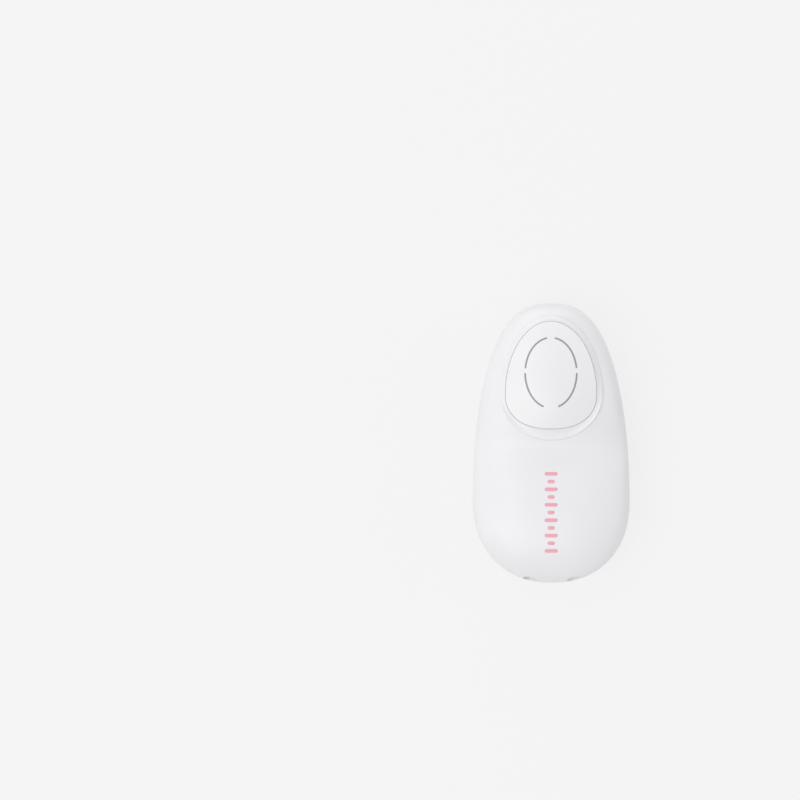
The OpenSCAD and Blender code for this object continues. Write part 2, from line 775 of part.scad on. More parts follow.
module choke() color("dimgray") translate([choke_place.x, choke_place.y, board_top]) union() {
    block(0, 0, 0, [choke_base, choke_base, choke_h / 4]);
    cylinder(d = choke_base * 0.88, h = choke_h - 0.2);
    translate([0, 0, choke_h * 0.75]) cylinder(d = choke_base, h = choke_h / 4);
}

module chip_parts() color("tan") for (y = small_rows, k = [0:4])
    block(small_pitch * (k - 2) + 0.4, y, board_top, small_part);

module status_leds() color("palegreen") for (side = [-1, 1])
    translate([side * 5.5, dome_y + 9, board_top]) {
        block(0, 0, 0, led_size);
        cylinder(d = led_size.x / 2, h = led_size.y);
    }

// --- volume wheel --------------------------------------------------------------------------------

module volume_pot() color("dimgray") translate([wheel_x, wheel_y, pot_z]) difference() {
    block(0, 0, 0, [pot_size, pot_size, board_z - pot_z]);
    translate([0, 0, -1]) cylinder(r = spindle_r + 0.05, h = board_z - pot_z);
}

module volume_dial() color("gainsboro") translate([wheel_x, wheel_y, wheel_z]) difference() {
    union() {
        linear_extrude(wheel_t) polygon([for (i = [0:4 * wheel_ridges - 1])
            let (a = 90 * i / wheel_ridges, r = wheel_r - (i % 4 < 2 ? 0 : 0.35))
            [r * cos(a), r * sin(a)]]);
        translate([0, 0, wheel_t - eps]) cylinder(r = spindle_r, h = pot_z - wheel_top + 3.4);
        translate([0, 0, wheel_t - eps]) cylinder(r = spindle_r + 1, h = 1);
    }
    translate([0, 0, -1]) cylinder(r = dial_head_r + 0.2, h = 1 + dial_head_h);
    translate([0, 0, -1]) cylinder(r = dial_screw_r + 0.05, h = 8);
}

module dial_screw() color("silver") translate([wheel_x, wheel_y, wheel_z]) difference() {
    union() {
        translate([0, 0, 0.1]) cylinder(r = dial_head_r, h = dial_head_h - 0.1);
        cylinder(r = dial_screw_r, h = 6.5);
    }
    translate([0, 0, -eps]) for (a = [0, 90]) rotate(a) block(0, 0, 0, [2, 0.5, 0.6]);
}

// --- headphone sockets -----------------------------------------------------------------------------

module jack(side) {
    translate([side * jack_x, 0, 0]) difference() {
        union() {
            block(0, jack_front + jack_l / 2, board_top, [jack_w, jack_l, jack_h]);
            translate([0, jack_face, jack_z]) rotate([-90, 0, 0]) cylinder(r = jack_nose_r, h = 5);
        }
        translate([0, jack_face - 1, jack_z]) rotate([-90, 0, 0])
            cylinder(r = jack_bore_d / 2, h = jack_depth + 1);
    }
}

module jack_left() color("white") jack(-1);
module jack_right() color("white") jack(1);

// --- cells and contacts ------------------------------------------------------------------------------

// A cell with its nub at the end that way points to: 1 to the near wall, -1 to the far wall
module cell(x, way) {
    spring_side = way > 0 ? bay_far + plate_t + coil_l : bay_near - plate_t - coil_l;
    translate([x, spring_side, cell_z]) rotate([way > 0 ? -90 : 90, 0, 0]) {
        cylinder(r = cell_r, h = cell_l - nub_l);
        cylinder(r = nub_r, h = cell_l);
    }
}

module cell_left() color("seagreen") cell(-cell_x, 1);
module cell_right() color("seagreen") cell(cell_x, -1);

// The plate that joins the cells at the tail, its lower corners clipped clear of the door
module bridge_contact() color("silver") {
    half = cell_x + contact_w / 2;
    low = -contact_w / 2;
    translate([0, bay_far + plate_t, cell_z]) rotate([90, 0, 0]) linear_extrude(plate_t)
        polygon([[-half + plate_clip, low], [half - plate_clip, low], [half, low + plate_clip],
                 [half, -low], [-half, -low], [-half, low + plate_clip]]);
}

module terminal_contacts() color("silver") for (side = [-1, 1]) {
    block(side * cell_x, bay_near - plate_t / 2, cell_z - contact_w / 2,
        [contact_w, plate_t, contact_w]);
    block(side * cell_x, bay_near - plate_t / 2, cell_z, [3, plate_t, board_z - cell_z]);
}

module contact_coils() color("silver") {
    translate([-cell_x, bay_far + plate_t, cell_z]) rotate([-90, 0, 0])
        coil(3.6, 2.4, coil_l, 3, 0.25);
    translate([cell_x, bay_near - plate_t, cell_z]) rotate([90, 0, 0])
        coil(3.6, 2.4, coil_l, 3, 0.25);
}

// --- probe ---------------------------------------------------------------------------------------------

module probe_cup() color("whitesmoke") translate([0, probe_y, 0]) rotate_extrude($fn = 96) {
    round_r = 1.5;
    polygon(concat(
        [[face_r + 0.05, 0]],
        [for (a = [0:15:90]) [cup_r - round_r + round_r * sin(a), round_r - round_r * cos(a)]],
        [[cup_r, cup_top - flange_t], [cup_r + flange_w, cup_top - flange_t],
         [cup_r + flange_w, cup_top], [face_r - 0.6, cup_top], [face_r - 0.6, face_t + 0.05],
         [face_r + 0.05, face_t + 0.05]]));
}

module probe_face() color("lavenderblush") translate([0, probe_y, 0])
    rotate_extrude($fn = 96) polygon([[0, 0], [face_r - 0.4, 0], [face_r, 0.4], [face_r, face_t],
        [0, face_t]]);

module crystal(side) translate([0, probe_y, face_t]) intersection() {
    cylinder(r = crystal_d / 2, h = crystal_t);
    translate([side > 0 ? crystal_gap / 2 : -crystal_d, -crystal_d / 2, -1])
        cube([crystal_d - crystal_gap / 2, crystal_d, crystal_t + 2]);
}

module crystal_left() color("khaki") crystal(-1);
module crystal_right() color("khaki") crystal(1);

module probe_backing() color("sienna") translate([0, probe_y, crystal_top])
    cylinder(r = face_r - 1.5, h = backing_t);

// A wire that lies in a plane across the casing: its route is a list of [y, z] places
module wire(x, route, r, sides = 8) {
    last = len(route) - 1;
    function along(k) = let (d = route[min(k + 1, last)] - route[max(k - 1, 0)]) d / norm(d);
    loop_solid([for (k = [0:last]) let (t = along(k)) [for (j = [0:sides - 1])
            let (b = 360 * j / sides, out = r * sin(b))
            [x + r * cos(b), route[k].x + t.y * out, route[k].y - t.x * out]]],
        [x, route[0].x, route[0].y], [x, route[last].x, route[last].y]);
}

module probe_leads() color("crimson") {
    rise = plug_z + plug_size.z / 2;
    start_y = probe_y - 4;
    end_y = plug_y - plug_size.y / 2;
    route = [[start_y, backing_top], [start_y, backing_top + 1.5], [start_y + 0.6, backing_top + 3.2],
        [start_y + 2.2, mix(backing_top, rise, 0.7)], [mix(start_y, end_y, 0.55), rise - 0.6],
        [end_y - 1.6, rise], [end_y, rise]];
    for (k = [0:3]) wire(1.6 * (k - 1.5), route, lead_r);
}

module lead_plug() color("ivory") block(0, plug_y, plug_z, plug_size);

module lead_socket() color("ivory") difference() {
    block(0, plug_y + 0.6, plug_z - 0.2, [plug_size.x + 2, plug_size.y + 1.6, board_z - plug_z + 0.2]);
    block(0, plug_y - 0.5, plug_z - 1, [plug_size.x + 0.1, plug_size.y + 1.1, plug_size.z + 1.05]);
}

upper_shell();
lower_shell();
button_bezel();
power_button();
ring_print();
front_mark();
button_springs();
tact_switch();
tact_plunger();
main_board();
board_screws();
board_chips();
capacitors();
quartz_can();
choke();
chip_parts();
status_leds();
volume_pot();
volume_dial();
dial_screw();
jack_left();
jack_right();
cell_left();
cell_right();
bridge_contact();
terminal_contacts();
contact_coils();
battery_door();
rating_label();
case_screws();
probe_cup();
probe_face();
crystal_left();
crystal_right();
probe_backing();
probe_leads();
lead_socket();
lead_plug();
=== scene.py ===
# Looks of a pocket fetal doppler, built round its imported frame. The shape functions below work in
# millimetres, as on a drawing, and every mesh is written in metres.
import json
import math

import bmesh
import bpy
import numpy as np
from mathutils import Matrix, Vector


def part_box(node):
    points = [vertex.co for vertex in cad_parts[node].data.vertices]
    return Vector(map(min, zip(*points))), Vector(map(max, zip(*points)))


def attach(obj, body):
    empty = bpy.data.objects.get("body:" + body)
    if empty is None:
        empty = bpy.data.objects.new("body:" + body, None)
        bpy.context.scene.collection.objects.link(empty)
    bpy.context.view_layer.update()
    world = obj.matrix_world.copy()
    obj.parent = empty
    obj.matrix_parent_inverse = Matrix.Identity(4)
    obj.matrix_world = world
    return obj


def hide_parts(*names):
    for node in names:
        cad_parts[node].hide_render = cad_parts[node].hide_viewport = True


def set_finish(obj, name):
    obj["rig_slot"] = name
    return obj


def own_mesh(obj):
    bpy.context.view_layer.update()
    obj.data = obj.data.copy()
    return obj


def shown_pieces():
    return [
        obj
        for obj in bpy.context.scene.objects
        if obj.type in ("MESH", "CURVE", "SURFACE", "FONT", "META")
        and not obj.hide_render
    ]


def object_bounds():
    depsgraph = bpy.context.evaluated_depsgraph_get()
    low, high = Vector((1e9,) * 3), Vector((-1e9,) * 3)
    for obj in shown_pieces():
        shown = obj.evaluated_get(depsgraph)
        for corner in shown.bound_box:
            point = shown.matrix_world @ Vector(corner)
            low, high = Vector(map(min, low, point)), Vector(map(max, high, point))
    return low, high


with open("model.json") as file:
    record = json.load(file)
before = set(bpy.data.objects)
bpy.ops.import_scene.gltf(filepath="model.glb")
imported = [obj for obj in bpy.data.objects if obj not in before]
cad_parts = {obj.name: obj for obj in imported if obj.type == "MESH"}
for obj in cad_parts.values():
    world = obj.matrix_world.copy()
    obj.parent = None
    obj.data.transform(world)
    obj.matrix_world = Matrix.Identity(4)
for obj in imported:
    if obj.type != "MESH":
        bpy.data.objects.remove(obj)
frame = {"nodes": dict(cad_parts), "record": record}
cad_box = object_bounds()

MM = 0.001
TINY = 1e-6


def box_mm(node):
    """Lowest and highest corner of a node, in millimetres."""
    low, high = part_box(node)
    return np.array(low) / MM, np.array(high) / MM


# --- sizes -------------------------------------------------------------------------------------

# Casing: its outline and parting line come from the frame
shell_low, shell_high = box_mm("upper_shell")
NOSE_Y = shell_high[1]
TAIL_Y = shell_low[1]
WIDTH = shell_high[0] - shell_low[0]
PARTING_Z = round(shell_low[2], 3)
WIDE_Y = -24.0  # where it is widest
PALM_RISE = 16.0  # crown over the parting line
SADDLE_DIP, SADDLE_Y, SADDLE_REACH = 5.0, -3.0, 11.0  # the hollow between palm and button
NECK_DEPTH = 9.0  # underside below the parting line, ahead of the arch
ARCH_START, ARCH_END = -8.0, 12.0
SEAM = 0.35  # straight band on each side of the parting line
BELLY_FLAT = 0.5  # cut from the belly, so that it stands
NOSE_POWER, TAIL_POWER = (2.1, 2.7), (2.2, 2.2)  # roundness of the outline's ends
NOSE_FALL, TAIL_FALL, BELLY_FALL = (5, 3), (2.6, 2.2), (4, 4)  # how the height falls to the ends
CROWN_POWER, BELLY_POWER = 2.6, 3  # squareness of the cross section

# Button: the raised oval and its rim
boss_low, boss_high = box_mm("button_bezel")
BOSS_HALF = boss_high[0]
BOSS_BACK, BOSS_FRONT, BOSS_MID = boss_low[1], boss_high[1], 20.0
BACK_POWER = 2.3  # squareness of the button's back end
RIM_W, RIM_BACK = 2.4, 4.6  # the rim's width, at the sides and at the back
RIM_RISE, RIM_SEAT = 0.7, 0.05  # over the casing: the top of the rim's outer wall, and its foot
RIM_CREST, RIM_CREST_SHARE = 0.4, 0.16  # round crest: its height and its share of the rim's width
RIM_DISH = 0.2
RIM_LIP, RIM_LIP_SHARE = 0.15, 0.05
TUB_IN = 1.1
FLOOR_Z, FLOOR_T = 26.5, 1.5  # the tub's floor, under the cap
FLOOR_TOP = FLOOR_Z + FLOOR_T

# Button: the domed cap, its stem, springs and hooks
DOME_R, DOME_Y = 58.0, 27.0
DOME_TOP = box_mm("power_button")[1][2]
DOME_Z = DOME_TOP - DOME_R
CAP_GAP, CAP_WALL, CAP_EDGE = 0.1, 1.6, 0.18
SKIRT_Z = 29.2
STEM_R, STEM_GAP = 2.2, 0.3
SPRING_X, SPRING_SEAT_R, SPRING_PEG_R = 9.0, 2.7, 1.3
SPRING_PEG_Z = FLOOR_TOP + 1.3
HOOK_Y, HOOK_HALF_W, HOOK_T = 14.0, 2.0, 1.2
HOOK_LOW, HOOK_TIP_TOP = FLOOR_Z - 1.2, FLOOR_Z - 0.1
HOOK_TIP_OUT, HOOK_TIP_HALF = 0.8, 0.7
HOOK_SLOT_HALF_W, HOOK_SLOT_HALF_L = 2.4, 1.6

# Ring printed on the cap
RING_HALF_W, RING_HALF_L, RING_LINE = 10.5, 14.4, 0.7
RING_MIDDLE = DOME_Y + 1.6
RING_ARCS = ((7, 82), (98, 173), (180, 254), (286, 360))  # degrees, from the right

# Mark on the palm
MARK_BARS, MARK_L, MARK_W, BAR_W, MARK_Y = 11, 33.0, 5.4, 1.5, -28.4
SHORT_BAR = 0.55  # of a long bar's length

# Volume wheel
WHEEL_T, HUB_R, SPINDLE_R, BORE_R, HEAD_R = 3.0, 4.0, 3.0, 0.95, 2.2
HUB_RISE, HEAD_SINK, DISH_SINK = 1.0, 1.0, 0.3
SPINDLE_BEVEL = 0.2
DISH_IN, DISH_SLOPE, DISH_HUB = 1.6, 0.4, 0.5


# --- the casing's surfaces ---------------------------------------------------------------------


def smooth(t):
    """A step from 0 to 1 with soft ends."""
    u = np.clip(t, 0, 1)
    return u * u * (3 - 2 * u)


def end_share(y, nose, tail):
    """How far towards its end each y lies, from 0 at the widest place to 1, to the end's own power."""
    ahead = y >= WIDE_Y
    t = np.where(ahead, (y - WIDE_Y) / (NOSE_Y - WIDE_Y), (WIDE_Y - y) / (WIDE_Y - TAIL_Y))
    return np.abs(t) ** np.where(ahead, nose[0], tail[0])


def falloff(y, nose, tail):
    """Falls from 1 at the widest place to 0 at both ends."""
    root = np.where(y >= WIDE_Y, nose[1], tail[1])
    return np.maximum(1 - end_share(y, nose, tail), 0) ** (1 / root)


def half_width(y):
    """Half the casing's width along its length."""
    return WIDTH / 2 * falloff(y, NOSE_POWER, TAIL_POWER)


def top_rise(y):
    """Rise of the upper casing's crown over the parting line."""
    saddle = SADDLE_DIP * np.exp(-(((y - SADDLE_Y) / SADDLE_REACH) ** 2))
    return (PALM_RISE - saddle) * falloff(y, NOSE_FALL, TAIL_FALL)


def belly_drop(y):
    """Depth of the lower casing below the parting line, before it is cut flat."""
    deep = PARTING_Z + BELLY_FLAT
    arch = (deep - NECK_DEPTH) * smooth((y - ARCH_START) / (ARCH_END - ARCH_START))
    return (deep - arch) * falloff(y, NOSE_FALL, BELLY_FALL)


def top_z(x, y):
    """Height of the upper casing's outside over a place in plan."""
    share = np.minimum(np.abs(x) / np.maximum(half_width(y), TINY), 1)
    return PARTING_Z + SEAM + (top_rise(y) - SEAM) * (1 - share**CROWN_POWER) ** (1 / CROWN_POWER)


def casing_field(p, upper, least=0.05):
    """Zero on the outside of the upper or lower casing and negative within it, at points p."""
    x, y, z = p.T
    if upper:
        power = CROWN_POWER
        up = (z - PARTING_Z - SEAM) / np.maximum(top_rise(y) - SEAM, least)
    else:
        power = BELLY_POWER
        up = (PARTING_Z - SEAM - z) / np.maximum(belly_drop(y) - SEAM, least)
    half = WIDTH / 2
    root = np.where(y >= WIDE_Y, NOSE_POWER[1], TAIL_POWER[1])
    section = (np.maximum(up, 0) * half_width(y) / half) ** power + (np.abs(x) / half) ** power
    return section ** (root / power) + end_share(y, NOSE_POWER, TAIL_POWER) - 1


def casing_slope(p, upper, step=0.01):
    """Gradient of casing_field."""
    slopes = []
    for axis in range(3):
        shift = np.zeros(3)
        shift[axis] = step
        slopes.append((casing_field(p + shift, upper) - casing_field(p - shift, upper)) / (2 * step))
    return np.stack(slopes, axis=1)


def egg(a, half, back, front, power=2.0):
    """Points of an egg, by angle in radians. The power says how square its back half is."""
    across, along = np.cos(a), np.sin(a)
    square = (np.abs(across) ** power + np.abs(along) ** power) ** (-1 / power)
    r = np.where(along >= 0, 1, square)
    reach = np.where(along >= 0, front - BOSS_MID, BOSS_MID - back)
    return np.stack([half * r * across, BOSS_MID + r * along * reach], axis=1)


def boss_egg(a, side=0.0):
    """Outline of the raised oval, drawn in by side."""
    return egg(a, BOSS_HALF - side, BOSS_BACK + side, BOSS_FRONT - side)


def cap_egg(a, gap=0.0):
    """Outline of the button's opening, drawn in by gap."""
    return egg(a, BOSS_HALF - RIM_W - gap, BOSS_BACK + RIM_BACK + gap, BOSS_FRONT - RIM_W - gap, BACK_POWER)


def dome_at(x, y, drop=0.0):
    """Height of the button's dome, or of the one that lies drop inside it."""
    return DOME_Z + np.sqrt((DOME_R - drop) ** 2 - x**2 - (y - DOME_Y) ** 2)


# --- mesh helpers ------------------------------------------------------------------------------


def turn(n):
    """n even angles of one turn."""
    return np.arange(n) * 2 * math.pi / n


def at_height(points, z):
    """Plan points with a height each, or one height for all."""
    return np.column_stack([points, np.broadcast_to(z, len(points))])


def object_from(name, points, faces, scale=MM):
    """A mesh object in metres from points in millimetres, or in another unit by its scale."""
    mesh = bpy.data.meshes.new(name)
    mesh.from_pydata((np.asarray(points) * scale).tolist(), [], faces)
    mesh.validate()
    obj = bpy.data.objects.new(name, mesh)
    bpy.context.scene.collection.objects.link(obj)
    return obj


def loop_faces(n, count, ring=False, start=0):
    """Quads that join loop after loop of n points."""
    faces = []
    for k in range(count if ring else count - 1):
        a, b = start + k * n, start + ((k + 1) % count) * n
        faces += [(a + i, a + (i + 1) % n, b + (i + 1) % n, b + i) for i in range(n)]
    return faces


def ring_mesh(name, loops):
    """A closed ring: the last loop joins the first."""
    return object_from(name, np.concatenate(loops), loop_faces(len(loops[0]), len(loops), True))


def stack_mesh(name, loops, first, last):
    """Loops closed by a fan at each end."""
    n, count = len(loops[0]), len(loops)
    points = np.concatenate(loops + [np.array([first, last])])
    faces = loop_faces(n, count)
    faces += [(n * count, (i + 1) % n, i) for i in range(n)]
    base = n * (count - 1)
    faces += [(n * count + 1, base + i, base + (i + 1) % n) for i in range(n)]
    return object_from(name, points, faces)


def face_outwards(obj):
    """Turns every face's front to the outside."""
    bm = bmesh.new()
    bm.from_mesh(obj.data)
    bmesh.ops.recalc_face_normals(bm, faces=bm.faces)
    bm.to_mesh(obj.data)
    bm.free()


def smooth_by_angle(obj, degrees=32):
    """Shades smoothly, except across edges sharper than the angle."""
    obj.data.shade_smooth()
    obj.data.set_sharp_from_angle(angle=math.radians(degrees))


def cut(obj, tools, operation="DIFFERENCE"):
    """Cuts tools from obj, or joins them to it, and deletes them."""
    for tool in tools:
        face_outwards(tool)
        change = obj.modifiers.new("cut", "BOOLEAN")
        change.operation, change.solver, change.object = operation, "EXACT", tool
        bpy.context.view_layer.update()
        made = bpy.data.meshes.new_from_object(obj.evaluated_get(bpy.context.evaluated_depsgraph_get()))
        obj.modifiers.clear()
        obj.data = made
        bpy.data.objects.remove(tool)


def post(x, y, z0, z1, radius, n=48):
    """A round post, as a tool for cut()."""
    plan = np.stack([x + radius * np.cos(turn(n)), y + radius * np.sin(turn(n))], axis=1)
    return stack_mesh("post", [at_height(plan, z0), at_height(plan, z1)], (x, y, z0), (x, y, z1))


def bar(low, high):
    """A box, as a tool for cut()."""
    corners = np.array([[low[0], low[1]], [high[0], low[1]], [high[0], high[1]], [low[0], high[1]]])
    middle = (np.array(low) + np.array(high)) / 2
    return stack_mesh("bar", [at_height(corners, low[2]), at_height(corners, high[2])],
                      (middle[0], middle[1], low[2]), (middle[0], middle[1], high[2]))


def seat(obj, body, slot, *nodes):
    """Seats a finished piece: its body, its material slot and the nodes it stands for."""
    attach(obj, body)
    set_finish(obj, slot)
    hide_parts(*nodes)


# --- casings: the frame's solids with their outside made finer ---------------------------------

OUTSIDE = 1  # material index that marks the outer faces while a casing is refined


def mesh_of(node):
    """Points, in millimetres, and faces of a node."""
    mesh = frame["nodes"][node].data
    points = np.empty(len(mesh.vertices) * 3, np.float32)
    mesh.vertices.foreach_get("co", points)
    return points.reshape(-1, 3) / MM, [tuple(p.vertices) for p in mesh.polygons]


def refined(node, name, upper, longest=1.3, passes=4, weld=0.002, thin=0.001):
    """A copy of a node whose outer faces are split until short and drawn onto the casing's surface."""
    obj = object_from(name, *mesh_of(node), scale=1.0)
    bm = bmesh.new()
    bm.from_mesh(obj.data)
    bmesh.ops.remove_doubles(bm, verts=bm.verts, dist=weld)
    bmesh.ops.dissolve_degenerate(bm, edges=bm.edges, dist=thin)
    mark_outside(bm, upper)
    for _ in range(passes):
        long_edges = [e for e in bm.edges
                      if e.calc_length() > longest and any(f.material_index for f in e.link_faces)]
        if not long_edges:
            break
        bmesh.ops.subdivide_edges(bm, edges=long_edges, cuts=1)
        bmesh.ops.triangulate(bm, faces=[f for f in bm.faces if len(f.verts) > 3])
        draw_on(bm, upper)
    bm.to_mesh(obj.data)
    bm.free()
    normals = corner_normals(obj, upper)
    obj.data.transform(Matrix.Scale(MM, 4))
    obj.data.normals_split_custom_set(normals)
    return obj


def mark_outside(bm, upper, near=0.9, agree=0.8):
    """Marks the faces that lie on the casing's outside: near the surface and facing its way."""
    middles = np.array([f.calc_center_median() for f in bm.faces])
    faced = np.array([f.normal for f in bm.faces])
    slope = casing_slope(middles, upper)
    size = np.maximum(np.linalg.norm(slope, axis=1), TINY)
    away = np.abs(casing_field(middles, upper)) / size
    along = (faced * slope).sum(axis=1) / size
    right_half = (middles[:, 2] > PARTING_Z) == upper
    for face, yes in zip(bm.faces, (away < near) & (along > agree) & right_half):
        if yes:
            face.material_index = OUTSIDE


def draw_on(bm, upper, steps=5, longest_move=0.5, farthest=1.2):
    """Moves the points of the marked faces onto the casing's surface, where it is not far."""
    verts = [v for v in bm.verts if any(f.material_index == OUTSIDE for f in v.link_faces)]
    start = np.array([v.co for v in verts])
    p = start.copy()
    for _ in range(steps):
        slope = casing_slope(p, upper)
        size2 = np.maximum((slope**2).sum(axis=1), TINY)
        move = -slope * (casing_field(p, upper) / size2)[:, None]
        far = np.maximum(np.linalg.norm(move, axis=1), TINY)
        p += move * np.minimum(1, longest_move / far)[:, None]
    good = (np.linalg.norm(p - start, axis=1) < farthest) & (p[:, 2] > -TINY)
    for vert, place, yes in zip(verts, p, good):
        if yes:
            vert.co = place


def corner_normals(obj, upper, degrees=30, agree=0.8):
    """A normal for each corner: the surface's own on the outside, the mesh's elsewhere."""
    mesh = obj.data
    smooth_by_angle(obj, degrees)
    normals = np.array([c.vector for c in mesh.corner_normals])
    corners = np.array([mesh.vertices[c.vertex_index].co for c in mesh.loops])
    marks = np.repeat([p.material_index for p in mesh.polygons], [p.loop_total for p in mesh.polygons])
    outside = np.flatnonzero(marks == OUTSIDE)
    slope = casing_slope(corners[outside], upper)
    own = slope / np.maximum(np.linalg.norm(slope, axis=1), TINY)[:, None]
    agrees = (own * normals[outside]).sum(axis=1) > agree
    normals[outside[agrees]] = own[agrees]
    for face in mesh.polygons:
        face.material_index = 0
    return normals.tolist()


def make_casings():
    """Both casing halves and the battery door."""
    seat(refined("upper_shell", "upper_casing", True), "casing", "shell_white", "upper_shell")
    seat(refined("lower_shell", "lower_casing", False), "casing", "shell_white", "lower_shell")
    seat(refined("battery_door", "cell_door", False), "door", "shell_white", "battery_door")


# --- button ------------------------------------------------------------------------------------


def bent(s, start, corner, end):
    """A rounded corner between two values, as a parabola."""
    return (1 - s) ** 2 * start + 2 * s * (1 - s) * corner + s * s * end


def make_bezel(n=288):
    """The rim round the button, with a wall, a crest, a dish and a lip, and the tub below it."""
    a = turn(n)
    foot, edge = boss_egg(a), cap_egg(a)
    low = top_z(foot[:, 0], foot[:, 1]) + RIM_RISE
    high = dome_at(edge[:, 0], edge[:, 1])
    crest = low + RIM_CREST
    start = (high - crest - 4 * RIM_DISH) * RIM_CREST_SHARE / (1 - RIM_CREST_SHARE)
    lip_from = 1 - RIM_LIP_SHARE

    def rim(t):
        return foot + (edge - foot) * t

    def level(t):
        u = (t - RIM_CREST_SHARE) / (1 - RIM_CREST_SHARE)
        return crest + (high - crest) * u - 4 * RIM_DISH * u * (1 - u)

    loops = [at_height(foot, low - RIM_RISE + RIM_SEAT)]
    loops += [at_height(rim(RIM_CREST_SHARE * s * s), bent(s, low - RIM_RISE / 2, crest - start, crest))
              for s in np.linspace(0, 1, 9)]
    loops += [at_height(rim(t), level(t)) for t in np.linspace(RIM_CREST_SHARE, lip_from, 16)[1:-1]]
    loops += [at_height(rim(1 - RIM_LIP_SHARE * (1 - s) ** 2), bent(s, level(lip_from), high, high - RIM_LIP))
              for s in np.linspace(0, 1, 7)]
    hole_r = STEM_R + STEM_GAP
    hole = np.stack([hole_r * np.cos(a), DOME_Y + hole_r * np.sin(a)], axis=1)
    tub = boss_egg(a, TUB_IN)
    step, skirt_z = 0.2, FLOOR_Z - 1
    loops += [at_height(edge, FLOOR_TOP + step), at_height(edge, FLOOR_TOP),
              at_height(hole, FLOOR_TOP), at_height(hole, FLOOR_Z),
              at_height(edge, FLOOR_Z), at_height(edge, skirt_z), at_height(tub, skirt_z),
              at_height(tub, top_z(tub[:, 0], tub[:, 1]) + RIM_SEAT)]
    obj = ring_mesh("button_rim", loops)
    face_outwards(obj)
    past = 0.5
    slots = []
    for side in (-1, 1):
        y = DOME_Y + side * HOOK_Y
        slots.append(bar((-HOOK_SLOT_HALF_W, y - HOOK_SLOT_HALF_L, FLOOR_Z - past),
                         (HOOK_SLOT_HALF_W, y + HOOK_SLOT_HALF_L, FLOOR_TOP + past)))
    cut(obj, slots)
    smooth_by_angle(obj)
    seat(obj, "casing", "shell_white", "button_bezel")


def dome_loops(a, gap, drop, steps):
    """Loops on the dome, from the cap's outline drawn in by gap towards the middle."""
    edge = cap_egg(a, gap)
    middle = np.array([0, DOME_Y])
    for t in np.linspace(0, 1, steps + 1)[:-1]:
        plan = edge + (middle - edge) * t
        yield at_height(plan, dome_at(plan[:, 0], plan[:, 1], drop))


def make_cap(n=288):
    """The domed button with a rounded edge, its skirt, stem, spring seats and hooks."""
    a = turn(n)
    outer, inner = cap_egg(a, CAP_GAP), cap_egg(a, CAP_GAP + CAP_WALL)
    loops = list(dome_loops(a, CAP_GAP + CAP_WALL, CAP_WALL, 16))[::-1]
    loops += [at_height(inner, SKIRT_Z), at_height(outer, SKIRT_Z)]
    top = dome_at(outer[:, 0], outer[:, 1])
    for s in np.linspace(0, 1, 7):
        plan = cap_egg(a, CAP_GAP + CAP_EDGE * s * s)
        loops.append(at_height(plan, bent(s, top - CAP_EDGE, top, dome_at(plan[:, 0], plan[:, 1]))))
    loops += list(dome_loops(a, CAP_GAP + CAP_EDGE, 0, 40))[1:]
    obj = stack_mesh("button_cap", loops, (0, DOME_Y, DOME_TOP - CAP_WALL), (0, DOME_Y, DOME_TOP))
    face_outwards(obj)
    into = CAP_WALL / 2
    stem_low = box_mm("tact_plunger")[1][2]
    spring_top = box_mm("button_springs")[1][2]
    peg_into = 0.4
    tools = [post(0, DOME_Y, stem_low, DOME_TOP - into, STEM_R)]
    for side in (-1, 1):
        x, y = side * SPRING_X, DOME_Y + side * HOOK_Y
        tip = y + side * HOOK_TIP_OUT
        tools += [
            post(x, DOME_Y, spring_top, dome_at(SPRING_X, DOME_Y) - into, SPRING_SEAT_R),
            post(x, DOME_Y, SPRING_PEG_Z, spring_top + peg_into, SPRING_PEG_R),
            bar((-HOOK_HALF_W, y - HOOK_T / 2, HOOK_LOW),
                (HOOK_HALF_W, y + HOOK_T / 2, dome_at(0, y) - into)),
            bar((-HOOK_HALF_W, tip - HOOK_TIP_HALF, HOOK_LOW),
                (HOOK_HALF_W, tip + HOOK_TIP_HALF, HOOK_TIP_TOP)),
        ]
    cut(obj, tools, "UNION")
    smooth_by_angle(obj)
    seat(obj, "button", "button_white", "power_button")


def make_springs():
    """The button's springs, copied from the frame onto a mesh of their own."""
    obj = object_from("button_coils", *mesh_of("button_springs"))
    seat(obj, "casing", "spring_steel", "button_springs")
    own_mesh(obj)


def make_ring(steps=56, across=4, proud=0.035, depth=0.12, sag=0.012, narrowest=0.02):
    """The printed ring: four arcs of ink with round ends, lying on the dome."""
    points, faces = [], []
    for start, end in RING_ARCS:
        a = np.radians(np.linspace(start, end, steps + 1))
        s = np.linspace(0, 1, steps + 1)
        length = math.radians(end - start) * (RING_HALF_W + RING_HALF_L) / 2
        from_end = np.minimum(s, 1 - s) * length
        r = RING_LINE / 2
        half = np.where(from_end < r, np.sqrt(np.maximum(r**2 - (r - from_end) ** 2, narrowest**2)), r)
        rows = []
        for level in (proud, -depth):
            for t in np.linspace(-1, 1, across + 1) * (1 if level == proud else -1):
                x = (RING_HALF_W + half * t) * np.cos(a)
                y = RING_MIDDLE + (RING_HALF_L + half * t) * np.sin(a)
                edge = sag if level == proud and abs(t) == 1 else 0
                rows.append(np.stack([x, y, dome_at(x, y) + level - edge], axis=1))
        base = len(points)
        grid = np.stack(rows, axis=1)
        points += grid.reshape(-1, 3).tolist()
        n = len(rows)
        faces += loop_faces(n, steps + 1, start=base)
        faces.append(tuple(base + i for i in reversed(range(n))))
        faces.append(tuple(base + steps * n + i for i in range(n)))
    obj = object_from("ring_ink", points, faces)
    face_outwards(obj)
    smooth_by_angle(obj)
    seat(obj, "button", "print_grey", "ring_print")


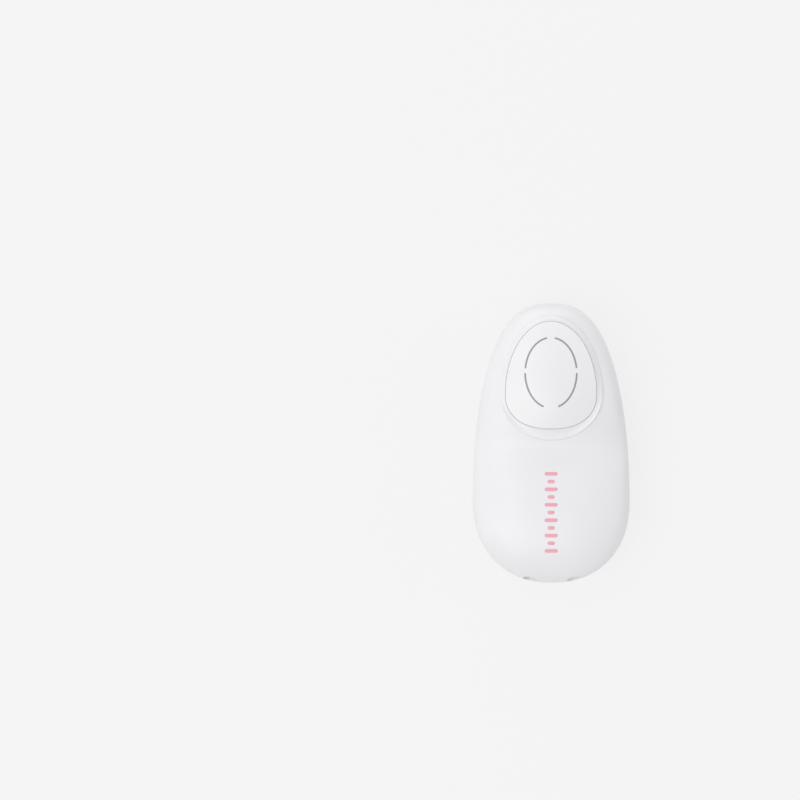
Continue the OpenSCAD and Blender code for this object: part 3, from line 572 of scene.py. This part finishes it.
def make_mark(corner=8, proud=0.05, depth=0.25):
    """The mark on the palm: long and short bars of ink with round ends, lying on the casing."""
    points, faces = [], []
    quarter = np.radians(np.linspace(-90, 90, corner + 1))
    for b in range(MARK_BARS):
        y0 = MARK_Y + (MARK_L - BAR_W) * (b / (MARK_BARS - 1) - 0.5)
        half = (MARK_W * (1 if b % 2 == 0 else SHORT_BAR) - BAR_W) / 2
        right = np.stack([half + BAR_W / 2 * np.cos(quarter), y0 + BAR_W / 2 * np.sin(quarter)], axis=1)
        left = np.array([0, 2 * y0]) - right
        outline = np.concatenate([right, left])
        n = len(outline)
        loops = []
        middle = np.array([0, y0])
        for share, lift in ((1, -depth), (1, proud * 0.6), (0.96, proud), (0.5, proud)):
            plan = middle + (outline - middle) * share
            loops.append(at_height(plan, top_z(plan[:, 0], plan[:, 1]) + lift))
        ends = [(0, y0, top_z(0, y0) - depth), (0, y0, top_z(0, y0) + proud)]
        base = len(points)
        points += np.concatenate(loops + [np.array(ends)]).tolist()
        faces += loop_faces(n, len(loops), start=base)
        last = base + n * (len(loops) - 1)
        faces += [(base + n * len(loops), base + (i + 1) % n, base + i) for i in range(n)]
        faces += [(base + n * len(loops) + 1, last + i, last + (i + 1) % n) for i in range(n)]
    obj = object_from("mark_ink", points, faces)
    face_outwards(obj)
    smooth_by_angle(obj)
    seat(obj, "casing", "print_pink", "front_mark")


# --- volume wheel ------------------------------------------------------------------------------


def make_wheel(ridges=44, per_ridge=8, ridge=0.35, edge=0.3, flat_share=0.6, edge_share=0.7):
    """The thumbwheel: rounded ridges, softened edges, a hub and a countersunk middle.

    The ridges run out to flat_share of their depth on the faces and to edge_share at the edges.
    """
    low, high = box_mm("volume_dial")
    middle = (low + high)[:2] / 2
    radius = (high[0] - low[0]) / 2
    a = turn(ridges * per_ridge)
    wave = 0.5 - 0.5 * np.cos(a * ridges)

    def rim(drop, share=1.0):
        r = radius - drop - ridge * wave**1.5 * share
        return middle + np.stack([r * np.cos(a), r * np.sin(a)], axis=1)

    def circle(r):
        return middle + r * np.stack([np.cos(a), np.sin(a)], axis=1)

    def rounded(s, z):
        return at_height(rim(edge * (1 - s) ** 2, edge_share + (1 - edge_share) * s), z)

    z0, top = low[2], high[2]
    z1 = z0 + WHEEL_T
    hub_z, dish_z, head_z = z1 + HUB_RISE, z0 + DISH_SINK, z0 + HEAD_SINK
    flat = edge + 0.25
    loops = [at_height(circle(BORE_R), top), at_height(circle(SPINDLE_R - SPINDLE_BEVEL), top),
             at_height(circle(SPINDLE_R), top - SPINDLE_BEVEL), at_height(circle(SPINDLE_R), hub_z),
             at_height(circle(HUB_R), hub_z), at_height(circle(HUB_R), z1),
             at_height(circle(radius - DISH_IN), z1), at_height(rim(flat, flat_share), z1)]
    loops += [rounded(s, z1 - edge * s * s) for s in (0.25, 0.6, 1)]
    loops += [rounded(s, z0 + edge * s * s) for s in (1, 0.6, 0.25)]
    loops += [at_height(rim(flat, flat_share), z0), at_height(circle(radius - DISH_IN), z0),
              at_height(circle(radius - DISH_IN - DISH_SLOPE), dish_z),
              at_height(circle(HEAD_R + DISH_HUB), dish_z), at_height(circle(HEAD_R), dish_z),
              at_height(circle(HEAD_R), head_z), at_height(circle(BORE_R), head_z)]
    obj = ring_mesh("thumbwheel", loops)
    face_outwards(obj)
    smooth_by_angle(obj, 40)
    seat(obj, "wheel", "dial_grey", "volume_dial")


# --- materials ---------------------------------------------------------------------------------


class Finish:
    """A node material whose grain is laid in the object's own coordinates."""

    def __init__(self, name):
        self.material = bpy.data.materials.new(name)
        self.material.use_nodes = True
        self.tree = self.material.node_tree
        self.shader = self.tree.nodes["Principled BSDF"]
        self.place = self.add("ShaderNodeTexCoord").outputs["Object"]

    def add(self, kind, **settings):
        """A new node, with its settings."""
        node = self.tree.nodes.new(kind)
        for key, value in settings.items():
            setattr(node, key, value)
        return node

    def link(self, out, into):
        self.tree.links.new(out, into)

    def set(self, **values):
        """Sets the shader's own sockets, whose names have _ for a space."""
        for key, value in values.items():
            self.shader.inputs[key.replace("_", " ")].default_value = value

    def stretched(self, factors):
        """Object coordinates with a factor for each axis, for grain that runs one way."""
        node = self.add("ShaderNodeMapping")
        self.link(self.place, node.inputs["Vector"])
        node.inputs["Scale"].default_value = factors
        return node.outputs["Vector"]

    def noise(self, per_metre, detail=3.0, rough=0.5, vector=None):
        """Soft noise with so many patches to a metre."""
        node = self.add("ShaderNodeTexNoise")
        self.link(vector or self.place, node.inputs["Vector"])
        node.inputs["Scale"].default_value = per_metre
        node.inputs["Detail"].default_value = detail
        node.inputs["Roughness"].default_value = rough
        return node.outputs["Fac"]

    def cells(self, per_metre, feature="F1"):
        """Cells with so many to a metre, as the distance to their middles or edges."""
        node = self.add("ShaderNodeTexVoronoi", feature=feature)
        self.link(self.place, node.inputs["Vector"])
        node.inputs["Scale"].default_value = per_metre
        return node.outputs["Distance"]

    def ramp(self, fac, stops):
        """A colour that follows fac through its stops."""
        node = self.add("ShaderNodeValToRGB")
        self.link(fac, node.inputs["Fac"])
        ramp = node.color_ramp
        for k, (at, color) in enumerate(stops):
            stop = ramp.elements[k] if k < 2 else ramp.elements.new(at)
            stop.position = at
            stop.color = (*color, 1)
        return node.outputs["Color"]

    def color(self, fac, dark, light):
        """A base colour from dark to light, over the range in which most noise lies."""
        self.base(self.ramp(fac, [(0.3, dark), (0.7, light)]))

    def base(self, color):
        self.link(color, self.shader.inputs["Base Color"])

    def roughness(self, fac, low, high):
        """A roughness from low to high, as fac goes from 0 to 1."""
        node = self.add("ShaderNodeMapRange")
        self.link(fac, node.inputs["Value"])
        node.inputs["To Min"].default_value = low
        node.inputs["To Max"].default_value = high
        self.link(node.outputs["Result"], self.shader.inputs["Roughness"])

    def bumps(self, *layers):
        """Fine relief. Each layer is a height, its strength and its depth in metres."""
        last = None
        for height, strength, depth in layers:
            node = self.add("ShaderNodeBump")
            node.inputs["Strength"].default_value = strength
            node.inputs["Distance"].default_value = depth
            self.link(height, node.inputs["Height"])
            if last:
                self.link(last, node.inputs["Normal"])
            last = node.outputs["Normal"]
        self.link(last, self.shader.inputs["Normal"])


def shade(color, factor):
    """A colour, darker or lighter."""
    return tuple(c * factor for c in color)


def moulded(name, color, rough, orange_peel=0.05, spread=0.02):
    """Moulded plastic: faint flow clouds, gloss that varies a little, and the tool's orange peel."""
    f = Finish(name)
    f.color(f.noise(22, 2), shade(color, 1 - spread), shade(color, 1 + spread * 0.5))
    f.roughness(f.noise(140, 4), rough * 0.95, rough * 1.2)
    f.bumps((f.noise(850, 2), orange_peel, 0.0002), (f.noise(9000, 2), orange_peel * 0.6, 0.00003))
    f.set(IOR=1.5)
    return f.material


def ink(name, color, rough):
    """Pad printed ink: slightly uneven cover with a fine grain."""
    f = Finish(name)
    f.color(f.noise(2500, 4), shade(color, 0.93), shade(color, 1.04))
    f.roughness(f.noise(4000, 3), rough * 0.85, rough * 1.2)
    f.bumps((f.noise(12000, 3), 0.15, 0.00002))
    return f.material


def metal(name, color, rough, grain=(1, 1, 1), per_metre=6000):
    """Plated or drawn metal: grain along one way, with duller patches."""
    f = Finish(name)
    grained = f.noise(per_metre, 4, vector=f.stretched(grain))
    f.color(f.noise(900, 3), shade(color, 0.88), color)
    f.roughness(grained, rough * 0.7, rough * 1.4)
    f.bumps((grained, 0.12, 0.00002))
    f.set(Metallic=1.0)
    return f.material


def sintered(name, color, rough, per_metre=7000):
    """Fired, sintered or filled material with visible grain."""
    f = Finish(name)
    f.color(f.noise(per_metre, 5, 0.65), shade(color, 0.75), shade(color, 1.2))
    f.roughness(f.noise(per_metre / 3, 3), rough * 0.9, min(1, rough * 1.1))
    f.bumps((f.cells(per_metre), 0.2, 0.00003))
    return f.material


def circuit_board():
    """Solder resist over copper: darker laminate and paler, raised runs of track."""
    f = Finish("board_green")
    tracks = f.cells(420, "DISTANCE_TO_EDGE")
    f.base(f.ramp(tracks, [(0.02, (0.02, 0.2, 0.07)), (0.06, (0.008, 0.11, 0.035))]))
    f.roughness(f.noise(600, 3), 0.24, 0.4)
    f.bumps((tracks, 0.35, 0.00005), (f.noise(5000, 2), 0.1, 0.00002))
    f.set(IOR=1.52)
    return f.material


def cell_sleeve():
    """A dry cell's plain sleeve: a dark green film with a paler band, over the steel can."""
    f = Finish("cell_sleeve")
    split = f.add("ShaderNodeSeparateXYZ")
    f.link(f.place, split.inputs["Vector"])
    low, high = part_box("cell_left")
    span = f.add("ShaderNodeMapRange")
    f.link(split.outputs["Y"], span.inputs["Value"])
    span.inputs["From Min"].default_value = low.y
    span.inputs["From Max"].default_value = high.y
    rim, film, band, can = (0.55, 0.55, 0.56), (0.015, 0.085, 0.05), (0.35, 0.55, 0.4), (0.6, 0.6, 0.61)
    f.base(f.ramp(span.outputs["Result"], [(0.0, rim), (0.03, rim), (0.04, film), (0.72, film),
                                           (0.73, band), (0.94, band), (0.95, can), (1.0, can)]))
    f.roughness(f.noise(900, 3), 0.22, 0.38)
    f.bumps((f.noise(3000, 2), 0.06, 0.00003))
    f.set(Metallic=0.35, IOR=1.5)
    return f.material


def probe_face_resin():
    """Cast acoustic face: a warm grey resin with a soft mottle and a satin skin."""
    f = Finish("face_resin")
    f.color(f.noise(260, 5, 0.6), (0.66, 0.63, 0.62), (0.74, 0.72, 0.71))
    f.roughness(f.noise(700, 4), 0.3, 0.46)
    f.bumps((f.noise(2600, 3), 0.09, 0.00004))
    f.set(IOR=1.48, Subsurface_Weight=0.12, Subsurface_Scale=0.002)
    return f.material


def clear_resin():
    """Cast resin of an indicator: faintly green and half clear."""
    f = Finish("led_resin")
    f.color(f.noise(1500, 2), (0.62, 0.78, 0.6), (0.78, 0.88, 0.74))
    f.roughness(f.noise(3000, 2), 0.06, 0.16)
    f.bumps((f.noise(4000, 2), 0.04, 0.00002))
    f.set(IOR=1.5, Transmission_Weight=0.35)
    return f.material


def satin_film():
    """Blank rating label: brushed silver film."""
    f = Finish("label_silver")
    brushed = f.noise(5200, 4, vector=f.stretched((0.04, 1, 1)))
    f.color(brushed, (0.5, 0.5, 0.52), (0.64, 0.64, 0.66))
    f.roughness(f.noise(1200, 3), 0.3, 0.42)
    f.bumps((brushed, 0.1, 0.00002))
    f.set(Metallic=0.6)
    return f.material


def make_finishes():
    """Makes one finish for each slot of the record and dresses every node and piece in its own."""
    finishes = {
        "shell_white": moulded("shell_white", (0.84, 0.84, 0.85), 0.3, orange_peel=0.03),
        "button_white": moulded("button_white", (0.85, 0.85, 0.858), 0.29, orange_peel=0.02),
        "print_grey": ink("print_grey", (0.3, 0.31, 0.34), 0.42),
        "print_pink": ink("print_pink", (0.85, 0.4, 0.48), 0.4),
        "spring_steel": metal("spring_steel", (0.58, 0.58, 0.6), 0.24),
        "black_plastic": moulded("black_plastic", (0.02, 0.02, 0.022), 0.42, 0.25, 0.15),
        "board_green": circuit_board(),
        "screw_steel": metal("screw_steel", (0.56, 0.56, 0.58), 0.3, (1, 1, 0.2), 5000),
        "chip_black": sintered("chip_black", (0.018, 0.018, 0.02), 0.55, 9000),
        "capacitor_sleeve": moulded("capacitor_sleeve", (0.012, 0.02, 0.09), 0.24, 0.1, 0.1),
        "can_metal": metal("can_metal", (0.68, 0.68, 0.69), 0.2, (1, 0.15, 1)),
        "ferrite": sintered("ferrite", (0.05, 0.05, 0.052), 0.62),
        "chip_ceramic": sintered("chip_ceramic", (0.42, 0.3, 0.18), 0.5),
        "led_resin": clear_resin(),
        "dial_grey": moulded("dial_grey", (0.5, 0.51, 0.53), 0.42, 0.22, 0.05),
        "cell_sleeve": cell_sleeve(),
        "contact_nickel": metal("contact_nickel", (0.66, 0.63, 0.58), 0.26, (1, 1, 0.2)),
        "label_silver": satin_film(),
        "probe_white": moulded("probe_white", (0.83, 0.83, 0.845), 0.29),
        "face_resin": probe_face_resin(),
        "piezo": sintered("piezo", (0.6, 0.54, 0.42), 0.4),
        "absorber": sintered("absorber", (0.14, 0.09, 0.06), 0.75),
        "socket_white": moulded("socket_white", (0.78, 0.78, 0.785), 0.35, 0.15, 0.05),
        "lead_red": moulded("lead_red", (0.45, 0.025, 0.02), 0.33, 0.1, 0.08),
        "nylon_white": moulded("nylon_white", (0.76, 0.73, 0.64), 0.45, 0.15, 0.04),
    }
    node_slots = {s["node"]: s["material_slot"] for s in frame["record"]["subparts"]}
    for node, obj in frame["nodes"].items():
        dress(obj, finishes[node_slots[node]])
    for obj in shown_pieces():
        if "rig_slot" in obj:
            dress(obj, finishes[obj["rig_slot"]])


def dress(obj, material):
    """Puts the material on all of an object."""
    if obj.material_slots:
        for held in obj.material_slots:
            held.material = material
    else:
        obj.data.materials.append(material)


# --- floor, lights and camera ------------------------------------------------------------------

SHOWN_WHITE = 0.93
FLOOR_HALF, FLOOR_GLOW, AMBIENT = 4.0, 0.85, 0.6
LAMP_AIM = (0, 0, 0.02)


def floor_and_world():
    """A white floor that keeps the shadow, and a white surround for what the camera and gloss see."""
    corners = [(x * FLOOR_HALF, y * FLOOR_HALF, 0) for x, y in ((-1, -1), (1, -1), (1, 1), (-1, 1))]
    floor = object_from("floor", corners, [(0, 1, 2, 3)], scale=1.0)
    material = bpy.data.materials.new("floor")
    material.use_nodes = True
    tree = material.node_tree
    shader = tree.nodes["Principled BSDF"]
    shader.inputs["Base Color"].default_value = (0.8, 0.8, 0.81, 1)
    shader.inputs["Roughness"].default_value = 0.9
    shader.inputs["Specular IOR Level"].default_value = 0.0
    glow = tree.nodes.new("ShaderNodeEmission")
    glow.inputs["Color"].default_value = (SHOWN_WHITE, SHOWN_WHITE, SHOWN_WHITE * 1.004, 1)
    mix = tree.nodes.new("ShaderNodeMixShader")
    share = tree.nodes.new("ShaderNodeMath")
    share.operation = "MULTIPLY"
    share.inputs[1].default_value = FLOOR_GLOW
    tree.links.new(seen_directly(tree), share.inputs[0])
    tree.links.new(share.outputs[0], mix.inputs["Fac"])
    tree.links.new(shader.outputs["BSDF"], mix.inputs[1])
    tree.links.new(glow.outputs["Emission"], mix.inputs[2])
    tree.links.new(mix.outputs["Shader"], tree.nodes["Material Output"].inputs["Surface"])
    floor.data.materials.append(material)

    world = bpy.data.worlds.new("surround")
    bpy.context.scene.world = world
    world.use_nodes = True
    tree = world.node_tree
    ambient = tree.nodes["Background"]
    ambient.inputs["Color"].default_value = (0.985, 0.985, 1.0, 1)
    ambient.inputs["Strength"].default_value = AMBIENT
    shown = tree.nodes.new("ShaderNodeBackground")
    shown.inputs["Color"].default_value = (SHOWN_WHITE, SHOWN_WHITE, SHOWN_WHITE, 1)
    shown.inputs["Strength"].default_value = 1.0
    mix = tree.nodes.new("ShaderNodeMixShader")
    tree.links.new(seen_directly(tree), mix.inputs["Fac"])
    tree.links.new(ambient.outputs["Background"], mix.inputs[1])
    tree.links.new(shown.outputs["Background"], mix.inputs[2])
    tree.links.new(mix.outputs["Shader"], tree.nodes["World Output"].inputs["Surface"])


def seen_directly(tree):
    """One for camera, glossy and transmission rays."""
    path = tree.nodes.new("ShaderNodeLightPath")
    total = path.outputs["Is Camera Ray"]
    for ray in ("Is Glossy Ray", "Is Transmission Ray"):
        add = tree.nodes.new("ShaderNodeMath")
        add.operation = "ADD"
        add.use_clamp = True
        tree.links.new(total, add.inputs[0])
        tree.links.new(path.outputs[ray], add.inputs[1])
        total = add.outputs[0]
    return total


def softbox(name, place, size, watts, color=(1, 1, 1)):
    """A soft rectangular lamp aimed at the object."""
    lamp = bpy.data.lights.new(name, "AREA")
    lamp.shape = "RECTANGLE"
    lamp.size, lamp.size_y = size
    lamp.energy = watts
    lamp.color = color
    obj = bpy.data.objects.new(name, lamp)
    bpy.context.scene.collection.objects.link(obj)
    obj.location = place
    obj.rotation_mode = "QUATERNION"
    obj.rotation_quaternion = (Vector(LAMP_AIM) - Vector(place)).to_track_quat("-Z", "Y")


def lights():
    """Soft light, a little stronger from the left, with a low lamp beyond the nose."""
    softbox("key", (-0.45, -0.42, 1.0), (0.9, 0.9), 4.2, (1, 0.998, 0.99))
    softbox("glint", (-0.45, 0.4, 1.0), (0.4, 0.4), 0.8)
    softbox("nose", (-0.3, 1.2, 0.4), (1.1, 0.8), 3.6)
    softbox("side", (-1.2, -0.2, 0.6), (0.9, 1.2), 1.5)
    softbox("fill", (1.1, 0.2, 0.45), (0.9, 0.9), 1.8, (0.975, 0.97, 1))


# The photograph is PHOTO_SIDE pixels square. The object's middle, its height and the lens were
# measured in it.
PHOTO_SIDE = 800.0
FOCAL_PX = 2061.0
OBJECT_MIDDLE_PX = (551.0, 443.0)
OBJECT_TALL_PX = 278.0
SENSOR = 36.0


def camera():
    """Straight above the front face, the narrow end up, turned aside so that the frame matches."""
    low, high = cad_box
    middle = (low + high) / 2
    distance = (high.y - low.y) * FOCAL_PX / OBJECT_TALL_PX
    level = low.z + PARTING_Z * MM
    data = bpy.data.cameras.new("camera")
    data.sensor_width = SENSOR
    data.lens = FOCAL_PX * SENSOR / PHOTO_SIDE
    data.clip_start, data.clip_end = 0.01, 20
    obj = bpy.data.objects.new("camera", data)
    bpy.context.scene.collection.objects.link(obj)
    obj.location = (middle.x, middle.y, level + distance)
    right = (OBJECT_MIDDLE_PX[0] - PHOTO_SIDE / 2) / FOCAL_PX * distance
    down = (OBJECT_MIDDLE_PX[1] - PHOTO_SIDE / 2) / FOCAL_PX * distance
    back = (obj.location - Vector((middle.x - right, middle.y + down, level))).normalized()
    side = Vector((0, 1, 0)).cross(back).normalized()
    obj.rotation_mode = "QUATERNION"
    obj.rotation_quaternion = Matrix((side, back.cross(side), back)).transposed().to_quaternion()
    bpy.context.scene.camera = obj


camera()
make_casings()
make_bezel()
make_cap()
make_springs()
make_ring()
make_mark()
make_wheel()
make_finishes()
floor_and_world()
lights()
bpy.context.scene.view_settings.view_transform = "Standard"
